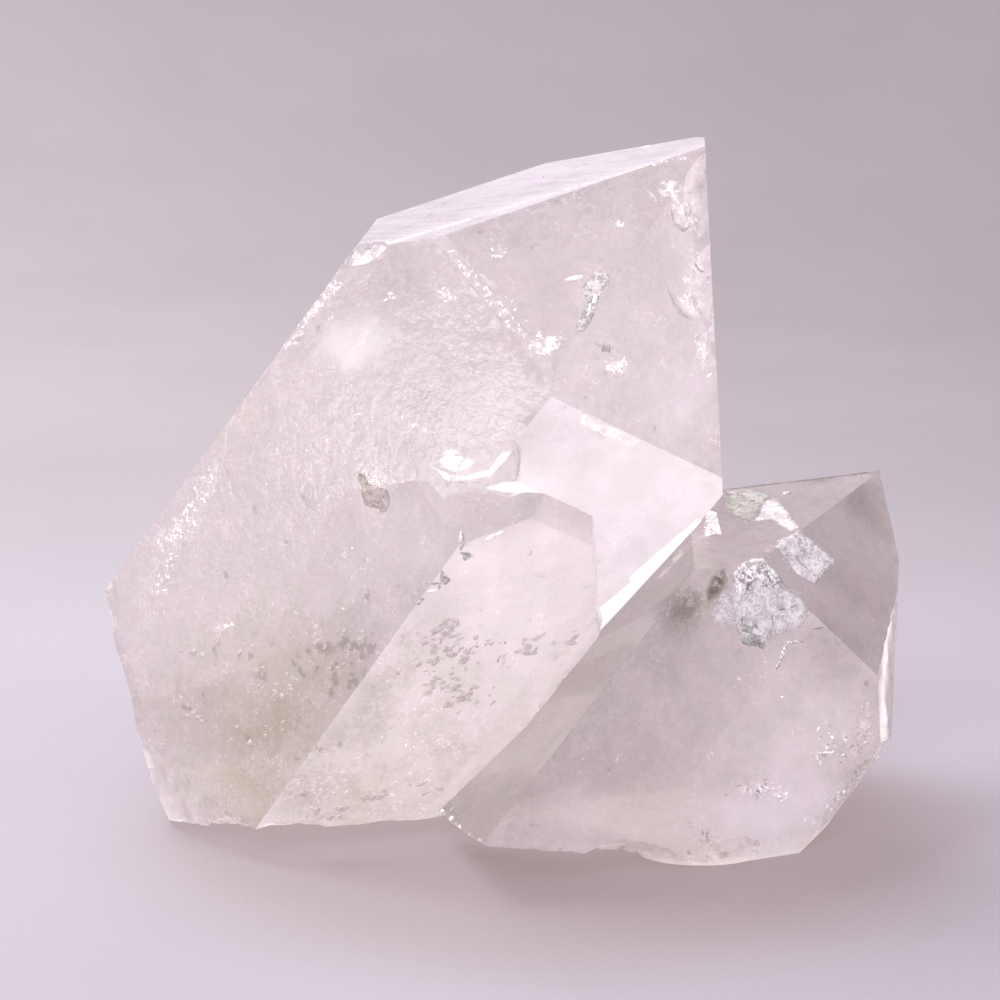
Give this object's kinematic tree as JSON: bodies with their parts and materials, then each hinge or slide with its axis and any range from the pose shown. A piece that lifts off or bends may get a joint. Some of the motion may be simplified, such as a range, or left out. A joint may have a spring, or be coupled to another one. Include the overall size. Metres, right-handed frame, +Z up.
{
  "type": "clear quartz point",
  "caption": "Clear quartz point leaning on its broken base, with a smaller crystal along its front and another leaning back at its foot; a mineral specimen to stand on a level surface.",
  "frame": {"origin": "centre of the bounding box, at the ground the broken base rests on", "axes": "+Z up; the front, with the tip of the main crystal at the upper right, faces -Y; the rear crystal's tip points to +X"},
  "size_m": [0.0858, 0.0552, 0.0708],
  "materials": {
    "quartz": "clear colourless rock crystal with milky veils, glassy growth faces, a rough broken base"
  },
  "bodies": {
    "root": {"quartz_cluster": "quartz"}
  },
  "joints": []
}
